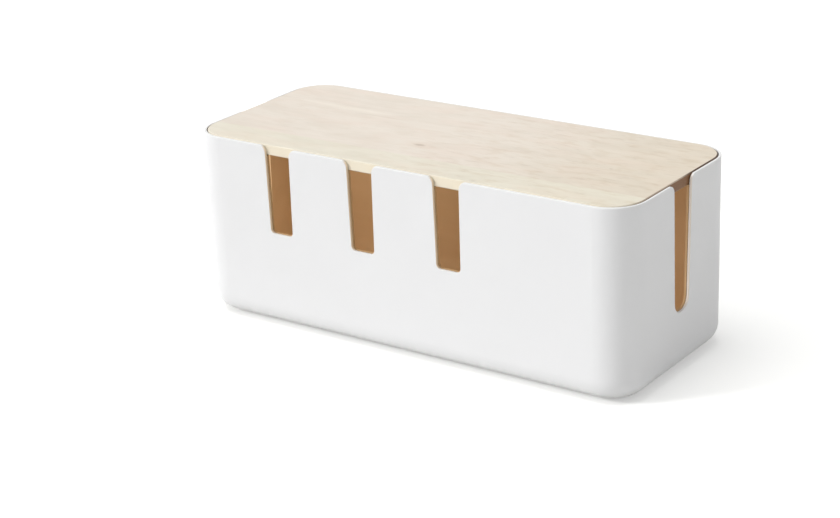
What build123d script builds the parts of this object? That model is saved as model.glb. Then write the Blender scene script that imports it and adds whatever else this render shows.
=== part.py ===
from build123d import *
from math import cos, radians, sin, tan
import os

# Desk box that hides a power strip and its cables: a white moulded shell, a brown liner inside it,
# a loose wooden lid that lies between the shell's walls on the liner, and four rubber feet.
# Millimetres. +X runs along the length, the front with its slots faces -Y, +Z is up, and the
# origin lies under the middle of the box, on the surface that the feet stand on.

# Overall size, feet and lid included
overall_length = 303.0
overall_depth = 124.0
overall_height = 116.0

# Form of the moulded walls
corner_radius = 22.0
base_radius = 12.0
draft_angle = 0.25
shell_wall = 1.5
edge_bevel = 0.35

# Liner, nested in the shell
liner_wall = 1.2
liner_fit = 0.25
base_relief = 1.0
rib_thickness = 1.6
rib_reach = 7.0

# Lid board
lid_thickness = 6.6
lid_proud = 0.4
lid_gap = 0.6
lid_top_bevel = 0.5
lid_under_bevel = 0.6

# Cable slots, open at the rim; a slot is named by the wall that it is in
slot_mouth_radius = 4.5
liner_slot_lip = 0.3
front_slot_count = 3
front_slot_pitch = 60.0
front_slot_from_left_end = 67.3
front_slot_rim_width = 17.4
front_slot_floor_width = 15.9
front_slot_depth = 54.8
front_slot_floor_radius = 3.0
end_slot_rim_width = 20.0
end_slot_floor_width = 15.8
end_slot_depth = 77.6
end_slot_floor_radius = 7.0

# Rubber feet
foot_radius = 5.0
foot_proud = 1.0
foot_recess = 0.5
foot_fit = 0.15
foot_margin = 8.0

# Levels above the surface that the box stands on
rim_level = overall_height - lid_proud
seat_level = overall_height - lid_thickness
shell_floor = foot_proud + shell_wall
liner_floor = shell_floor + liner_wall

# Distances in from the shell's outer face
liner_outside = shell_wall + liner_fit
liner_inside = liner_outside + liner_wall
lid_inset = shell_wall + lid_gap

first_slot_x = front_slot_from_left_end - overall_length / 2
front_slot_places = [(first_slot_x + i * front_slot_pitch, 0) for i in range(front_slot_count)]
foot_inset = base_radius + foot_margin + foot_radius
foot_places = {
    "foot_front_left": (foot_inset - overall_length / 2, foot_inset - overall_depth / 2),
    "foot_front_right": (overall_length / 2 - foot_inset, foot_inset - overall_depth / 2),
    "foot_back_left": (foot_inset - overall_length / 2, overall_depth / 2 - foot_inset),
    "foot_back_right": (overall_length / 2 - foot_inset, overall_depth / 2 - foot_inset),
}


def drafted_block(inset, bottom, top, lower_radius):
    """Block with rounded corners that stays inset from the shell's drafted outer face all the way down."""
    drawn_in = inset + (rim_level - top) * tan(radians(draft_angle))
    with BuildPart() as block:
        with BuildSketch(Plane.XY.offset(top)):
            RectangleRounded(
                overall_length - 2 * drawn_in, overall_depth - 2 * drawn_in, corner_radius - drawn_in
            )
        extrude(amount=bottom - top, taper=draft_angle)
        fillet(block.faces().sort_by(Axis.Z)[0].edges(), lower_radius)
    return block.part


def slot_opening(rim_width, floor_width, depth, floor_radius, lip=0.0):
    """Outline of an upright slot that narrows downwards and flares at its mouth. Its y is the height."""
    rim_half = rim_width / 2 - lip
    floor_half = floor_width / 2 - lip
    mouth_half = rim_half + 2 * slot_mouth_radius
    floor_level = rim_level - depth + lip
    above_lid = overall_height + lid_thickness
    with BuildSketch() as opening:
        with BuildLine():
            Polyline(
                (-floor_half, floor_level),
                (floor_half, floor_level),
                (rim_half, rim_level),
                (mouth_half, rim_level),
                (mouth_half, above_lid),
                (-mouth_half, above_lid),
                (-mouth_half, rim_level),
                (-rim_half, rim_level),
                close=True,
            )
        make_face()
        floor_corners = opening.vertices().group_by(Axis.Y)[0]
        fillet(floor_corners, floor_radius - lip)
        mouth_vertices = opening.vertices().filter_by_position(Axis.Y, rim_level, rim_level)
        fillet(mouth_vertices.sort_by(Axis.X)[1:3], slot_mouth_radius)
    return opening.sketch


# Shell: drafted tub with a rounded base, slotted, and bevelled along its rim and slots
shell_hollow = drafted_block(shell_wall, shell_floor, rim_level, base_radius - shell_wall)
shell_front_slot = slot_opening(
    front_slot_rim_width, front_slot_floor_width, front_slot_depth, front_slot_floor_radius
)
shell_end_slot = slot_opening(
    end_slot_rim_width, end_slot_floor_width, end_slot_depth, end_slot_floor_radius
)

with BuildPart() as shell:
    add(drafted_block(0, foot_proud, rim_level, base_radius))
    add(shell_hollow, mode=Mode.SUBTRACT)
    with BuildSketch(Plane.XZ):
        with Locations(*front_slot_places):
            add(shell_front_slot)
    extrude(amount=overall_depth, mode=Mode.SUBTRACT)
    with BuildSketch(Plane.YZ):
        add(shell_end_slot)
    extrude(amount=overall_length, both=True, mode=Mode.SUBTRACT)
    with BuildSketch(Plane.XY.offset(foot_proud)):
        with Locations(*foot_places.values()):
            Circle(foot_radius + foot_fit)
    extrude(amount=foot_recess, mode=Mode.SUBTRACT)
    back_rim_edge = shell.edges().filter_by(Axis.X).group_by(Axis.Z)[-1].sort_by(Axis.Y)[-1]
    chamfer(back_rim_edge, edge_bevel)  # runs on along the outer rim and round every slot
shell.part.label = "shell"

# Liner: thinner tub in the shell, its top edge and corner ribs level with the underside of the lid
liner_base_radius = base_radius - shell_wall + base_relief
liner_front_slot = slot_opening(
    front_slot_rim_width,
    front_slot_floor_width,
    front_slot_depth,
    front_slot_floor_radius,
    lip=liner_slot_lip,
)
liner_end_slot = slot_opening(
    end_slot_rim_width,
    end_slot_floor_width,
    end_slot_depth,
    end_slot_floor_radius,
    lip=liner_slot_lip,
)

with BuildPart() as liner_hollow:
    add(drafted_block(liner_inside, liner_floor, seat_level, liner_base_radius - liner_wall))
    with BuildSketch(Plane.XY.offset(shell_floor)):
        for x_side in (-1, 1):
            for y_side in (-1, 1):
                rib_root = corner_radius - liner_inside
                rib_x = x_side * (overall_length / 2 - corner_radius + rib_root * cos(radians(45)))
                rib_y = y_side * (overall_depth / 2 - corner_radius + rib_root * sin(radians(45)))
                with Locations((rib_x, rib_y)):
                    Rectangle(2 * rib_reach, rib_thickness, rotation=45 * x_side * y_side)
    extrude(amount=seat_level - shell_floor, mode=Mode.SUBTRACT)

with BuildPart() as liner:
    add(drafted_block(liner_outside, shell_floor, seat_level, liner_base_radius))
    add(liner_hollow.part, mode=Mode.SUBTRACT)
    with BuildSketch(Plane.XZ):
        with Locations(*front_slot_places):
            add(liner_front_slot)
    extrude(amount=overall_depth, mode=Mode.SUBTRACT)
    with BuildSketch(Plane.YZ):
        add(liner_end_slot)
    extrude(amount=overall_length, both=True, mode=Mode.SUBTRACT)
liner.part.label = "liner"

# Lid: flat board with bevelled edges
with BuildPart() as lid:
    with BuildSketch(Plane.XY.offset(seat_level)):
        RectangleRounded(
            overall_length - 2 * lid_inset, overall_depth - 2 * lid_inset, corner_radius - lid_inset
        )
    extrude(amount=lid_thickness)
    chamfer(lid.faces().sort_by(Axis.Z)[-1].edges(), lid_top_bevel)
    chamfer(lid.faces().sort_by(Axis.Z)[0].edges(), lid_under_bevel)
lid.part.label = "lid"

os.makedirs("parts", exist_ok=True)
export_step(shell.part, "parts/shell.step")
export_step(liner.part, "parts/liner.step")
export_step(lid.part, "parts/lid.step")

# Feet: rubber discs seated in shallow pockets under the shell
for foot_name, foot_place in foot_places.items():
    with BuildPart() as foot:
        with BuildSketch(Plane.XY):
            with Locations(foot_place):
                Circle(foot_radius)
        extrude(amount=foot_proud + foot_recess)
    foot.part.label = foot_name
    export_step(foot.part, f"parts/{foot_name}.step")
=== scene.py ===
"""Finishes and studio for a cable organizer box: white shell, brown liner, wooden lid and rubber feet."""

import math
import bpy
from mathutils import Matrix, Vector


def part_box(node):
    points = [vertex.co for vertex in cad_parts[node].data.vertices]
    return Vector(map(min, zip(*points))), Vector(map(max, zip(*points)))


bl_info = {
    "name": "Cable Organizer Box",
    "version": (1, 0, 0),
    "blender": (4, 5, 0),
    "location": "View3D > Sidebar > Cable Box",
    "description": "Gives the pieces of a cable organizer box their finishes and sets up its studio",
    "category": "Material",
}

from typing import NamedTuple

import bpy
from bpy.props import FloatProperty, FloatVectorProperty, PointerProperty
from bpy.types import NodeSocket, Operator, Panel, PropertyGroup
from mathutils import Matrix, Vector

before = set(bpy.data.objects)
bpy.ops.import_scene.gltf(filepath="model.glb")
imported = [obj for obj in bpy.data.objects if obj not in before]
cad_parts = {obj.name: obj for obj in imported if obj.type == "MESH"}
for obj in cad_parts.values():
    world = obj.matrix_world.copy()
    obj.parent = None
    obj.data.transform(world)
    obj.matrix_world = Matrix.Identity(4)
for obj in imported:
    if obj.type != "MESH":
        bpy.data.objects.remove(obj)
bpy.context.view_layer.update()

MM = 0.001
LID_LOW, LID_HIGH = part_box("lid")
LINER_LOW, LINER_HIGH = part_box("liner")
FEET = sorted(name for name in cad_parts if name.startswith("foot_"))

# Nearer to the middle of the box than these, only the edges of its slots face along it or across it
SLOTS_WITHIN_LENGTH = 120 * MM
SLOTS_WITHIN_DEPTH = 20 * MM
# Share of the painted warm bounce light on the end slots' upright edges
END_SLOT_BOUNCE_SHARE = 0.4

# Each lamp inside starts and ends this far from the middle of the box, this far in from the liner's front
INSIDE_LAMP_START = 60 * MM
INSIDE_LAMP_END = 140 * MM
INSIDE_LAMP_SETBACK = 4.3 * MM

# Each is this tall, with its middle this far up the liner, as shares of the liner's height
INSIDE_LAMP_HEIGHT = 0.7
INSIDE_LAMP_MIDDLE = 0.41

# Soft noise mostly stays between these values
NOISE_LOW = 0.3
NOISE_HIGH = 0.7

WHITE = (1.0, 1.0, 1.0, 1.0)
FILM_WIDTH_MM = 36.0


def colour_property(name, description, default):
    """Scene-linear colour that a user can change."""
    return FloatVectorProperty(
        name=name, description=description, default=default, size=3, min=0.0, max=1.0, subtype="COLOR"
    )


def length_property(name, description, default):
    """Length in metres that a user can change."""
    return FloatProperty(
        name=name, description=description, default=default, min=0.0, precision=5, unit="LENGTH"
    )


def share_property(name, description, default):
    """Share from 0 to 1 that a user can change."""
    return FloatProperty(
        name=name, description=description, default=default, min=0.0, max=1.0, subtype="FACTOR"
    )


def angle_property(name, description, degrees):
    """Angle that a user can change."""
    return FloatProperty(name=name, description=description, default=math.radians(degrees), subtype="ANGLE")


def place_property(name, description, from_middle_mm):
    """Place on the lid, from its middle along and across it, that a user can move."""
    return FloatVectorProperty(
        name=name,
        description=description,
        default=[part * MM for part in from_middle_mm],
        size=2,
        precision=5,
        subtype="XYZ",
        unit="LENGTH",
    )


def level_property(name, description, default):
    """Light level that a user can change. Level 1 shows white as white where a lamp shines straight on."""
    return FloatProperty(name=name, description=description, default=default, min=0.0)


class ShellSettings(PropertyGroup):
    """White plastic of the shell."""

    colour: colour_property("Colour", "Colour of the white plastic", (0.835, 0.835, 0.845))
    # Painted shade: greys the rim and other level faces, which the overhead lamps would light brighter than
    # the walls
    painted_rim_shade_colour: colour_property("Rim painted shade", "Painted shade on the rim and level faces", (0.76, 0.76, 0.755))
    # Painted warm bounce light: the slots' upright edges, which lie in shade, get a brighter tan standing for
    # light bounced off the brown liner
    edge_colour: colour_property("Slot edge bounce colour", "Painted warm bounce light on the slots' upright edges", (0.84, 0.69, 0.50))
    roughness: share_property("Roughness", "How matt the moulded surface is", 0.42)
    texture_size: length_property("Texture size", "Size of the eroded texture's pits", 0.6 * MM)
    texture_depth: length_property("Texture depth", "Depth of the eroded texture's pits", 0.008 * MM)
    wave_size: length_property("Wave size", "Length of the slow waves in the moulded walls", 55 * MM)
    wave_depth: length_property("Wave depth", "Depth of the slow waves in the moulded walls", 0.05 * MM)


class LinerSettings(PropertyGroup):
    """Wood-brown plastic of the liner."""

    colour: colour_property("Colour", "Colour of the brown plastic", (0.60, 0.40, 0.21))
    streak_colour: colour_property("Streak colour", "Colour of the faint flow streaks", (0.565, 0.37, 0.19))
    roughness: share_property("Roughness", "How matt the surface is", 0.6)
    texture_size: length_property("Texture size", "Size of the grain in the surface", 0.9 * MM)
    texture_depth: length_property("Texture depth", "Depth of the grain in the surface", 0.02 * MM)


class LidSettings(PropertyGroup):
    """Pale wooden board of the lid."""

    heart_colour: colour_property("Board colour", "Main colour of the board", (0.745, 0.677, 0.597))
    far_colour: colour_property("Right end colour", "Colour towards the right end", (0.685, 0.612, 0.505))
    strip_colour: colour_property("Strip colour", "Colour of the front strip", (0.730, 0.695, 0.580))
    edge_colour: colour_property("Edge colour", "Colour of the long edges", (0.86, 0.78, 0.63))
    # Partly painted shade: dark end grain, made darker still to stand for the shade the ends lie in beside
    # the walls
    end_grain_and_shade_colour: colour_property("End grain and shade colour", "Colour of the short ends", (0.215, 0.100, 0.036))
    # Painted shadow: stands for the shade in the gap between the lid's ends and the shell's walls
    painted_gap_shadow_colour: colour_property("Gap shadow colour", "Colour of the painted gap shadow on the end bevels", (0.10, 0.06, 0.035))
    fleck_colour: colour_property("Fleck colour", "Colour of flecks and the pin knot", (0.40, 0.31, 0.24))
    streak_colour: colour_property("Streak colour", "Colour of the long light streak", (0.93, 0.87, 0.78))
    strip_width: length_property("Strip width", "Width of the lighter strip along the front", 22.4 * MM)
    ring_spacing: length_property("Ring spacing", "Distance between growth rings", 7.5 * MM)
    fibre_width: length_property("Fibre width", "Width of the finest grain lines", 0.7 * MM)
    knot_place: place_property("Knot place", "Middle of the pin knot", (-12, -18))
    fleck_place: place_property("Fleck place", "Middle of the small dark fleck", (108, -3.5))
    streak_place: place_property("Streak place", "Middle of the long light streak", (-95, 23))
    grain_depth: length_property("Grain depth", "Depth of the grain in the surface", 0.05 * MM)
    roughness: share_property("Roughness", "How matt the clear coat is", 0.55)


class FeetSettings(PropertyGroup):
    """Grey rubber of the feet."""

    colour: colour_property("Colour", "Colour of the rubber", (0.16, 0.16, 0.16))
    roughness: share_property("Roughness", "How matt the rubber is", 0.85)
    grain_size: length_property("Grain size", "Size of the rubber's grain", 0.5 * MM)
    grain_depth: length_property("Grain depth", "Depth of the rubber's grain", 0.02 * MM)


class StageSettings(PropertyGroup):
    """Floor, light and camera."""

    floor_colour: colour_property("Floor colour", "Colour of the pale floor", (0.75, 0.75, 0.735))
    floor_white: level_property("Floor white", "White that the floor adds where it is looked at", 0.37)
    floor_size: length_property("Floor size", "Side of the square floor", 12.0)
    ambient: level_property("Ambient light", "Light from all round", 0.43)
    key_level: level_property("Key light", "Light of the soft key lamp on the left of the front", 0.504)
    key_azimuth: angle_property("Key azimuth", "Turn of the key lamp from the front", -46)
    key_elevation: angle_property("Key elevation", "Height of the key lamp above the horizon", 30)
    key_width: angle_property("Key width", "How wide the key lamp looks from the box", 14)
    top_level: level_property("Top light", "Light of the broad lamp overhead", 0.45)
    top_azimuth: angle_property("Top azimuth", "Turn of the overhead lamp from the front", -60)
    top_elevation: angle_property("Top elevation", "Height of the overhead lamp above the horizon", 78)
    top_width: angle_property("Top width", "How wide the overhead lamp looks from the box", 40)
    inside_left: level_property("Inside light left", "Light through the left part of the front wall", 2.75)
    inside_right: level_property("Inside light right", "Light through the right part of the front wall", 2.2)
    camera_azimuth: angle_property("Camera azimuth", "Turn of the camera from the front", 35.76)
    camera_elevation: angle_property("Camera elevation", "Height of the camera above the horizon", 20.89)
    camera_roll: angle_property("Camera roll", "Turn of the camera about its own axis", -2.35)
    camera_distance: length_property("Camera distance", "Distance from the camera to its aim", 1.243)
    camera_aim: FloatVectorProperty(
        name="Camera aim",
        description="Point in the middle of the picture",
        default=(-0.0281, 0.0, 0.0356),
        subtype="TRANSLATION",
    )
    focal_length: FloatProperty(
        name="Focal length", description="Focal length in millimetres on a 36 mm frame", default=87.5, min=1.0
    )


class BoxSettings(PropertyGroup):
    """All settings of the cable organizer box."""

    shell: PointerProperty(type=ShellSettings)
    liner: PointerProperty(type=LinerSettings)
    lid: PointerProperty(type=LidSettings)
    feet: PointerProperty(type=FeetSettings)
    stage: PointerProperty(type=StageSettings)


def opaque(colour):
    """Colour with full alpha, as colour sockets want it."""
    return (*colour, 1.0)


def add_node(tree, kind, inputs=None, **settings):
    """Adds a node. Each value in inputs is a constant for that socket, or another node's output."""
    node = tree.nodes.new(kind)
    for name, value in settings.items():
        setattr(node, name, value)
    for key, value in (inputs or {}).items():
        if isinstance(value, NodeSocket):
            tree.links.new(value, node.inputs[key])
        else:
            node.inputs[key].default_value = value
    return node


def new_material(name, **surface_values):
    """Material with one principled surface, and the values given for its sockets."""
    material = bpy.data.materials.new(name)
    material.use_nodes = True
    tree = material.node_tree
    tree.nodes.clear()
    surface = add_node(tree, "ShaderNodeBsdfPrincipled")
    for label, value in surface_values.items():
        surface.inputs[label.replace("_", " ")].default_value = value
    add_node(tree, "ShaderNodeOutputMaterial", {"Surface": surface.outputs["BSDF"]})
    return material, tree, surface


def finish_surface(tree, surface, colour, roughness, normal):
    """Links a surface's colour, roughness and normal."""
    tree.links.new(colour, surface.inputs["Base Color"])
    tree.links.new(roughness, surface.inputs["Roughness"])
    tree.links.new(normal, surface.inputs["Normal"])


def dress(piece_name, material):
    """Gives a piece its material in every slot."""
    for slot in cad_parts[piece_name].material_slots:
        slot.material = material


def object_point(tree):
    """Place on the piece in metres."""
    return add_node(tree, "ShaderNodeTexCoord").outputs["Object"]


def stretch(tree, place, repeats, shift=(0.0, 0.0, 0.0)):
    """Place times repeats, then moved by shift."""
    stretched = add_node(tree, "ShaderNodeMapping", {"Vector": place, "Scale": repeats, "Location": shift})
    return stretched.outputs["Vector"]


def noise(tree, place, scale=1.0, detail=2.0, distortion=0.0):
    """Soft noise from 0 to 1 at a place."""
    cloud = add_node(
        tree,
        "ShaderNodeTexNoise",
        {"Vector": place, "Scale": scale, "Detail": detail, "Distortion": distortion},
    )
    return cloud.outputs["Fac"]


def remap(tree, value, from_low, from_high, to_low=0.0, to_high=1.0, smooth=False):
    """Value moved from one range to another, held at the ends."""
    mapped = add_node(
        tree,
        "ShaderNodeMapRange",
        {"Value": value, "From Min": from_low, "From Max": from_high, "To Min": to_low, "To Max": to_high},
        interpolation_type="SMOOTHSTEP" if smooth else "LINEAR",
    )
    return mapped.outputs["Result"]


def uneven(tree, cloud, middle, spread):
    """Value that noise moves up and down by a spread about its middle."""
    return remap(tree, cloud, NOISE_LOW, NOISE_HIGH, middle - spread, middle + spread)


def arithmetic(tree, operation, first, second):
    """Result of one sum on two values."""
    return add_node(tree, "ShaderNodeMath", {0: first, 1: second}, operation=operation).outputs[0]


def both(tree, first, second):
    """Product of two shares."""
    return arithmetic(tree, "MULTIPLY", first, second)


def mix_colours(tree, share, first, second, blend="MIX"):
    """Blend of two colours; share 0 gives the first."""
    mixed = add_node(
        tree, "ShaderNodeMix", {0: share, 6: first, 7: second}, data_type="RGBA", blend_type=blend
    )
    return mixed.outputs[2]


def stain(tree, colour, share, tint):
    """Colour with a tint laid over a share of it."""
    return mix_colours(tree, share, colour, opaque(tint), blend="MULTIPLY")


def bump(tree, height, depth, below=None):
    """Normal of a surface whose height goes from 0 to 1 over depth metres."""
    inputs = {"Height": height, "Distance": depth, "Strength": 1.0}
    if below is not None:
        inputs["Normal"] = below
    return add_node(tree, "ShaderNodeBump", inputs).outputs["Normal"]


def facing(tree, axis):
    """How squarely a surface faces along an axis of the piece, either way, from 0 to 1."""
    normal = add_node(tree, "ShaderNodeTexCoord").outputs["Normal"]
    sides = add_node(tree, "ShaderNodeSeparateXYZ", {"Vector": normal})
    return arithmetic(tree, "ABSOLUTE", sides.outputs[axis], 0.0)


def faces_near_middle(tree, place, axis, reach, share):
    """Share on faces that look along an axis and lie within reach of the middle of the box on it."""
    fade = 1 * MM
    axes = add_node(tree, "ShaderNodeSeparateXYZ", {"Vector": place})
    from_middle = arithmetic(tree, "ABSOLUTE", axes.outputs[axis], 0.0)
    near = remap(tree, from_middle, reach + fade, reach)
    return both(tree, near, remap(tree, facing(tree, axis), 0.3, 0.7, 0.0, share))


def painted_slot_bounce(tree, place):
    """Share of painted warm bounce light: 1 on the front slots' upright edges, less on the end slots', and 0
    elsewhere.
    """
    front_edges = faces_near_middle(tree, place, "X", SLOTS_WITHIN_LENGTH, 1.0)
    end_edges = faces_near_middle(tree, place, "Y", SLOTS_WITHIN_DEPTH, END_SLOT_BOUNCE_SHARE)
    return arithmetic(tree, "MAXIMUM", front_edges, end_edges)


def white_plastic(settings):
    """Satin white plastic with an eroded texture and slow waves. Painted shade greys the rim and other level
    faces, and painted warm bounce light tints the slot edges.
    """
    material, tree, surface = new_material("satin_white_plastic", IOR=1.5)
    place = object_point(tree)
    clouds = remap(tree, noise(tree, place, scale=18.0, detail=3.0), NOISE_LOW, NOISE_HIGH)
    dull = [0.985 * part for part in settings.colour]
    colour = mix_colours(tree, clouds, opaque(settings.colour), opaque(dull))
    # Painted shade: level faces, the rim above all, are greyed where the lamps above light them
    shaded_level_faces = remap(tree, facing(tree, "Z"), 0.4, 0.8, smooth=True)
    colour = mix_colours(tree, shaded_level_faces, colour, opaque(settings.painted_rim_shade_colour))
    # Painted warm bounce light from the brown liner on the slots' upright edges
    colour = mix_colours(tree, painted_slot_bounce(tree, place), colour, opaque(settings.edge_colour))

    gloss = noise(tree, place, scale=60.0, detail=4.0)
    waves = bump(tree, noise(tree, place, scale=1.0 / settings.wave_size, detail=0.0), settings.wave_depth)
    pits = noise(tree, place, scale=1.0 / settings.texture_size, detail=2.0)
    normal = bump(tree, pits, settings.texture_depth, below=waves)
    finish_surface(tree, surface, colour, uneven(tree, gloss, settings.roughness, 0.03), normal)
    return material


def brown_plastic(settings):
    """Matt wood-brown plastic with faint flow streaks along the box."""
    material, tree, surface = new_material("matt_brown_plastic", IOR=1.46)
    place = object_point(tree)
    streaks = noise(tree, stretch(tree, place, (9.0, 60.0, 60.0)), detail=4.0, distortion=0.4)
    colour = mix_colours(
        tree, remap(tree, streaks, 0.35, 0.65), opaque(settings.colour), opaque(settings.streak_colour)
    )

    gloss = noise(tree, place, scale=90.0, detail=3.0)
    pits = noise(tree, place, scale=1.0 / settings.texture_size, detail=3.0)
    normal = bump(tree, pits, settings.texture_depth)
    finish_surface(tree, surface, colour, uneven(tree, gloss, settings.roughness, 0.05), normal)
    return material


class BoardPlace(NamedTuple):
    """Where a point of the board is, both as it lies and as the bending grain counts it."""

    plain: NodeSocket
    along: NodeSocket
    across: NodeSocket
    with_grain: NodeSocket
    across_grain: NodeSocket


def board_place(tree):
    """Places on a board whose grain bends to and fro across it."""
    bend = 3 * MM
    plain = object_point(tree)
    axes = add_node(tree, "ShaderNodeSeparateXYZ", {"Vector": plain})
    along, across, upward = axes.outputs["X"], axes.outputs["Y"], axes.outputs["Z"]
    bends = noise(tree, stretch(tree, plain, (6.0, 18.0, 18.0)), detail=2.0)
    across_grain = arithmetic(tree, "ADD", across, uneven(tree, bends, 0.0, bend))
    grain = add_node(tree, "ShaderNodeCombineXYZ", {"X": along, "Y": across_grain, "Z": upward})
    return BoardPlace(plain, along, across, grain.outputs["Vector"], across_grain)


def patches(tree, place, per_metre, fade, share=1.0, shift=(0.0, 0.0, 0.0), detail=2.0, distortion=0.0):
    """Share in soft patches, so many in a metre along and across, where noise goes through its fade."""
    along, across = per_metre
    stretched = stretch(tree, place, (along, across, across), shift)
    cloud = noise(tree, stretched, detail=detail, distortion=distortion)
    return remap(tree, cloud, *fade, 0.0, share)


def spot(tree, place, middle, half_length, half_width, share):
    """Share in the middle of an oval on the board, fading to 0 at its rim."""
    along, across = 1.0 / half_length, 1.0 / half_width
    oval = stretch(tree, place, (along, across, 0.0), (-middle[0] * along, -middle[1] * across, 0.0))
    distance = add_node(tree, "ShaderNodeVectorMath", {0: oval}, operation="LENGTH").outputs["Value"]
    return remap(tree, distance, 1.0, 0.3, 0.0, share, smooth=True)


def plain_board(tree, settings, at):
    """Colour that deepens towards the right end, with the lighter strip along the front."""
    towards_right = remap(tree, at.along, 0.0, LID_HIGH.x, smooth=True)
    board = mix_colours(tree, towards_right, opaque(settings.heart_colour), opaque(settings.far_colour))
    blur = 0.6 * MM
    strip_edge = LID_LOW.y + settings.strip_width
    strip = remap(tree, at.across, strip_edge - blur, strip_edge + blur, 0.7, 0.0)
    return mix_colours(tree, strip, board, opaque(settings.strip_colour))


def mottle_board(tree, board, at):
    """Board colour with mottling along the grain, grey clouds and warm patches."""
    mottle = patches(
        tree, at.with_grain, per_metre=(34, 110), fade=(0.4, 0.7), share=0.7, detail=3.0, distortion=0.4
    )
    board = stain(tree, board, mottle, tint=(0.925, 0.915, 0.895))
    clouds = patches(tree, at.plain, per_metre=(14, 26), fade=(0.4, 0.75), share=0.6, shift=(2.7, 5.1, 0.4))
    board = stain(tree, board, clouds, tint=(0.96, 0.97, 0.97))
    warmth = patches(tree, at.plain, per_metre=(24, 62), fade=(0.45, 0.65), share=0.7, shift=(0.2, 3.9, 1.8))
    return stain(tree, board, warmth, tint=(1.0, 0.965, 0.955))


def ring_board(tree, board, settings, at):
    """Board colour with growth rings that come and go."""
    ring_count = arithmetic(tree, "MULTIPLY", at.across_grain, 1.0 / settings.ring_spacing)
    through_ring = arithmetic(tree, "FRACT", ring_count, 0.0)
    late_wood = remap(tree, through_ring, 0.5, 1.0, 0.0, 0.25, smooth=True)
    coming = patches(tree, at.plain, per_metre=(9, 40), fade=(0.45, 0.65), shift=(1.1, 0.3, 0.0))
    return stain(tree, board, both(tree, late_wood, coming), tint=(0.93, 0.915, 0.89))


def streak_board(tree, board, settings, at):
    """Board colour with the long light streak, and a short shade line beside it."""
    middle = settings.streak_place
    streak = spot(tree, at.with_grain, middle, 48 * MM, 4 * MM, share=0.25)
    board = mix_colours(tree, streak, board, opaque(settings.streak_colour))
    beside = (middle[0] + 30 * MM, middle[1] - 5 * MM)
    shade = spot(tree, at.with_grain, beside, 22 * MM, 1.8 * MM, share=0.6)
    return stain(tree, board, shade, tint=(0.90, 0.885, 0.85))


def wood_fibres(tree, settings, at):
    """Noise of the fibres, drawn out along the grain."""
    across = 1.0 / settings.fibre_width
    along = 0.06 * across
    return noise(tree, stretch(tree, at.with_grain, (along, across, across)), detail=4.0)


def grain_board(tree, board, settings, at, fibres):
    """Board colour with fibres, and with dashes and blotches that grow busier towards the right end."""
    calm_until = -60 * MM
    busy_from = 60 * MM
    board = stain(tree, board, remap(tree, fibres, 0.4, 0.65, 0.0, 0.45), tint=(0.94, 0.93, 0.91))
    busy = remap(tree, at.along, calm_until, busy_from, 0.3, 1.0, smooth=True)
    dashes = patches(
        tree, at.with_grain, per_metre=(110, 520), fade=(0.6, 0.76), share=0.2, shift=(3.1, 7.7, 1.3)
    )
    board = mix_colours(tree, both(tree, dashes, busy), board, opaque(settings.fleck_colour))
    blotches = patches(
        tree, at.with_grain, per_metre=(75, 210), fade=(0.5, 0.7), shift=(0.9, 4.2, 2.6), detail=3.0
    )
    return stain(tree, board, both(tree, blotches, busy), tint=(0.93, 0.90, 0.86))


def knot_board(tree, board, settings, at):
    """Board colour with the pin knot in its soft halo, and the small dark fleck."""
    halo = spot(tree, at.plain, settings.knot_place, 16 * MM, 8 * MM, share=0.6)
    board = stain(tree, board, halo, tint=(0.96, 0.92, 0.89))
    knot = spot(tree, at.plain, settings.knot_place, 5.2 * MM, 2.6 * MM, share=0.5)
    board = mix_colours(tree, knot, board, opaque(settings.fleck_colour))
    fleck = spot(tree, at.plain, settings.fleck_place, 1.8 * MM, 1.0 * MM, share=0.45)
    return mix_colours(tree, fleck, board, opaque(settings.fleck_colour))


def edge_board(tree, board, settings, at):
    """Board colour with pale long edges and dark ends darkened further by painted shade, and a painted shadow
    of the gap on the end bevels that grows towards the back.
    """
    gap_shadow_fade = 14 * MM
    long_edges = remap(tree, facing(tree, "Y"), 0.6, 0.95, smooth=True)
    board = mix_colours(tree, long_edges, board, opaque(settings.edge_colour))
    endwise = facing(tree, "X")
    # Dark end grain on the short ends, partly painted shade of the gap beside the walls
    ends = remap(tree, endwise, 0.5, 0.95, smooth=True)
    board = mix_colours(tree, ends, board, opaque(settings.end_grain_and_shade_colour))
    # Painted shadow of the gap between the lid's ends and the walls, on the end bevels and stronger towards
    # the back
    gap_shadow_bevels = both(tree, remap(tree, endwise, 0.25, 0.6), remap(tree, endwise, 0.95, 0.8))
    towards_back = remap(tree, at.across, 0.0, gap_shadow_fade, smooth=True)
    return mix_colours(tree, both(tree, gap_shadow_bevels, towards_back), board, opaque(settings.painted_gap_shadow_colour))


def pale_wood(settings):
    """Pale board with fibres along its length, growth rings, flecks and a lighter strip along the front."""
    material, tree, surface = new_material("pale_board_wood", IOR=1.48)
    at = board_place(tree)
    fibres = wood_fibres(tree, settings, at)
    board = plain_board(tree, settings, at)
    board = mottle_board(tree, board, at)
    board = ring_board(tree, board, settings, at)
    board = streak_board(tree, board, settings, at)
    board = grain_board(tree, board, settings, at, fibres)
    board = knot_board(tree, board, settings, at)
    board = edge_board(tree, board, settings, at)
    roughness = uneven(tree, fibres, settings.roughness, -0.06)
    finish_surface(tree, surface, board, roughness, bump(tree, fibres, settings.grain_depth))
    return material


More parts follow.
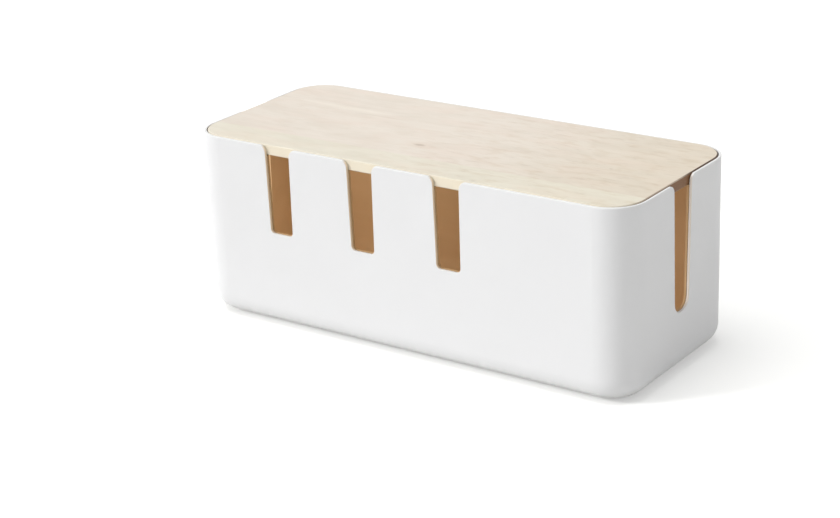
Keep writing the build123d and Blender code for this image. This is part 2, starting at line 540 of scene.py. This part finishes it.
def grey_rubber(settings):
    """Matt grey rubber with a fine grain."""
    material, tree, surface = new_material("grey_foot_rubber", IOR=1.5)
    place = object_point(tree)
    dust = noise(tree, place, scale=400.0, detail=3.0)
    dusty = [min(1.0, 1.25 * part) for part in settings.colour]
    colour = mix_colours(tree, remap(tree, dust, 0.4, 0.7), opaque(settings.colour), opaque(dusty))
    grain = noise(tree, place, scale=1.0 / settings.grain_size, detail=2.0)
    normal = bump(tree, grain, settings.grain_depth)
    finish_surface(tree, surface, colour, uneven(tree, dust, settings.roughness, 0.05), normal)
    return material


def seen_directly(tree):
    """1 for rays from the camera, a mirror or a glass, and 0 for light that falls on things."""
    rays = add_node(tree, "ShaderNodeLightPath")
    seen = arithmetic(tree, "MAXIMUM", rays.outputs["Is Camera Ray"], rays.outputs["Is Glossy Ray"])
    return arithmetic(tree, "MAXIMUM", seen, rays.outputs["Is Transmission Ray"])


def from_front(azimuth, elevation):
    """Direction from the box towards a place at that azimuth from the front and elevation."""
    flat = math.cos(elevation)
    return Vector((math.sin(azimuth) * flat, -math.cos(azimuth) * flat, math.sin(elevation)))


def make_floor(settings):
    """Pale floor, wide enough to fill every view. What looks at it also sees some white on it."""
    half = settings.floor_size / 2
    corners = [(-half, -half, 0.0), (half, -half, 0.0), (half, half, 0.0), (-half, half, 0.0)]
    mesh = bpy.data.meshes.new("floor")
    mesh.from_pydata(corners, [], [(0, 1, 2, 3)])
    floor = bpy.data.objects.new("floor", mesh)
    bpy.context.scene.collection.objects.link(floor)
    material, tree, surface = new_material("pale_floor", Roughness=0.9, Specular_IOR_Level=0.0)
    surface.inputs["Base Color"].default_value = opaque(settings.floor_colour)
    surface.inputs["Emission Color"].default_value = WHITE
    white = arithmetic(tree, "MULTIPLY", seen_directly(tree), settings.floor_white)
    tree.links.new(white, surface.inputs["Emission Strength"])
    mesh.materials.append(material)


def make_world(settings):
    """Even light from all round, and white where the world itself is seen."""
    world = bpy.data.worlds.new("studio")
    world.use_nodes = True
    tree = world.node_tree
    tree.nodes.clear()
    light = add_node(tree, "ShaderNodeBackground", {"Color": WHITE, "Strength": settings.ambient})
    backdrop = add_node(tree, "ShaderNodeBackground", {"Color": WHITE, "Strength": 1.0})
    either = add_node(
        tree,
        "ShaderNodeMixShader",
        {0: seen_directly(tree), 1: light.outputs["Background"], 2: backdrop.outputs["Background"]},
    )
    add_node(tree, "ShaderNodeOutputWorld", {"Surface": either.outputs["Shader"]})
    bpy.context.scene.world = world


def place_lamp(name, kind, towards):
    """Lamp of one kind that shines from the direction towards."""
    lamp = bpy.data.lights.new(name, kind)
    holder = bpy.data.objects.new(name, lamp)
    bpy.context.scene.collection.objects.link(holder)
    holder.rotation_mode = "QUATERNION"
    holder.rotation_quaternion = towards.to_track_quat("Z", "Y")
    return lamp, holder


def make_far_lamp(name, azimuth, elevation, width, level):
    """Lamp so far off that it lights the whole floor evenly."""
    lamp, _ = place_lamp(name, "SUN", from_front(azimuth, elevation))
    lamp.angle = width
    lamp.energy = level * math.pi


def make_inside_lamp(name, side, level):
    """Lamp behind the left or right of the front wall, for the light that the thin plastic lets through."""
    wall_height = LINER_HIGH.z - LINER_LOW.z
    lamp, holder = place_lamp(name, "AREA", Vector((0.0, -1.0, 0.0)))
    lamp.shape = "RECTANGLE"
    lamp.size = INSIDE_LAMP_END - INSIDE_LAMP_START
    lamp.size_y = INSIDE_LAMP_HEIGHT * wall_height
    lamp.energy = level * math.pi * lamp.size * lamp.size_y
    holder.location = (
        side * (INSIDE_LAMP_START + INSIDE_LAMP_END) / 2,
        LINER_LOW.y + INSIDE_LAMP_SETBACK,
        LINER_LOW.z + INSIDE_LAMP_MIDDLE * wall_height,
    )
    holder.visible_camera = False
    holder.visible_glossy = False


def make_camera(settings):
    """Camera at the photograph's angle."""
    back = from_front(settings.camera_azimuth, settings.camera_elevation)
    level_right = Vector((math.cos(settings.camera_azimuth), math.sin(settings.camera_azimuth), 0.0))
    level_up = back.cross(level_right)
    turn = Matrix.Rotation(settings.camera_roll, 3, back)
    axes = Matrix((turn @ level_right, turn @ level_up, back)).transposed()
    place = Vector(settings.camera_aim) + settings.camera_distance * back
    camera = bpy.data.objects.new("camera", bpy.data.cameras.new("camera"))
    bpy.context.scene.collection.objects.link(camera)
    camera.matrix_world = Matrix.LocRotScale(place, axes.to_quaternion(), None)
    camera.data.sensor_width = FILM_WIDTH_MM
    camera.data.lens = settings.focal_length
    bpy.context.scene.camera = camera


class CABLEBOX_OT_finish_shell(Operator):
    """Give the shell its satin white plastic"""

    bl_idname = "cablebox.finish_shell"
    bl_label = "Finish Shell"

    def execute(self, context):
        dress("shell", white_plastic(context.scene.cable_box.shell))
        return {"FINISHED"}


class CABLEBOX_OT_finish_liner(Operator):
    """Give the liner its matt brown plastic"""

    bl_idname = "cablebox.finish_liner"
    bl_label = "Finish Liner"

    def execute(self, context):
        dress("liner", brown_plastic(context.scene.cable_box.liner))
        return {"FINISHED"}


class CABLEBOX_OT_finish_lid(Operator):
    """Give the lid its pale wood"""

    bl_idname = "cablebox.finish_lid"
    bl_label = "Finish Lid"

    def execute(self, context):
        dress("lid", pale_wood(context.scene.cable_box.lid))
        return {"FINISHED"}


class CABLEBOX_OT_finish_feet(Operator):
    """Give the feet their grey rubber"""

    bl_idname = "cablebox.finish_feet"
    bl_label = "Finish Feet"

    def execute(self, context):
        rubber = grey_rubber(context.scene.cable_box.feet)
        for foot in FEET:
            dress(foot, rubber)
        return {"FINISHED"}


class CABLEBOX_OT_set_stage(Operator):
    """Lay the floor, light it and place the camera"""

    bl_idname = "cablebox.set_stage"
    bl_label = "Set Stage"

    def execute(self, context):
        stage = context.scene.cable_box.stage
        make_floor(stage)
        make_world(stage)
        make_far_lamp("key_lamp", stage.key_azimuth, stage.key_elevation, stage.key_width, stage.key_level)
        make_far_lamp("top_lamp", stage.top_azimuth, stage.top_elevation, stage.top_width, stage.top_level)
        make_inside_lamp("inside_left_lamp", -1, stage.inside_left)
        make_inside_lamp("inside_right_lamp", 1, stage.inside_right)
        make_camera(stage)
        context.scene.view_settings.view_transform = "Standard"
        return {"FINISHED"}


class CABLEBOX_PT_tools(Panel):
    """Tools of the cable organizer box, in the order that they are used"""

    bl_label = "Cable Organizer Box"
    bl_idname = "CABLEBOX_PT_tools"
    bl_space_type = "VIEW_3D"
    bl_region_type = "UI"
    bl_category = "Cable Box"

    def draw(self, context):
        settings = context.scene.cable_box
        groups = (settings.shell, settings.liner, settings.lid, settings.feet, settings.stage)
        for tool, group in zip(TOOLS, groups):
            box = self.layout.box()
            box.operator(tool.bl_idname)
            for name in group.__annotations__:
                box.prop(group, name)


TOOLS = (
    CABLEBOX_OT_finish_shell,
    CABLEBOX_OT_finish_liner,
    CABLEBOX_OT_finish_lid,
    CABLEBOX_OT_finish_feet,
    CABLEBOX_OT_set_stage,
)
SETTINGS = (ShellSettings, LinerSettings, LidSettings, FeetSettings, StageSettings, BoxSettings)
CLASSES = (*SETTINGS, *TOOLS, CABLEBOX_PT_tools)


def register():
    """Registers every class and hangs the settings on the scene."""
    for cls in CLASSES:
        bpy.utils.register_class(cls)
    bpy.types.Scene.cable_box = PointerProperty(type=BoxSettings)


def unregister():
    """Takes the settings and every class away again."""
    del bpy.types.Scene.cable_box
    for cls in reversed(CLASSES):
        bpy.utils.unregister_class(cls)


def main():
    """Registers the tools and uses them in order."""
    register()
    bpy.ops.cablebox.finish_shell()
    bpy.ops.cablebox.finish_liner()
    bpy.ops.cablebox.finish_lid()
    bpy.ops.cablebox.finish_feet()
    bpy.ops.cablebox.set_stage()


if __name__ == "__main__":
    main()
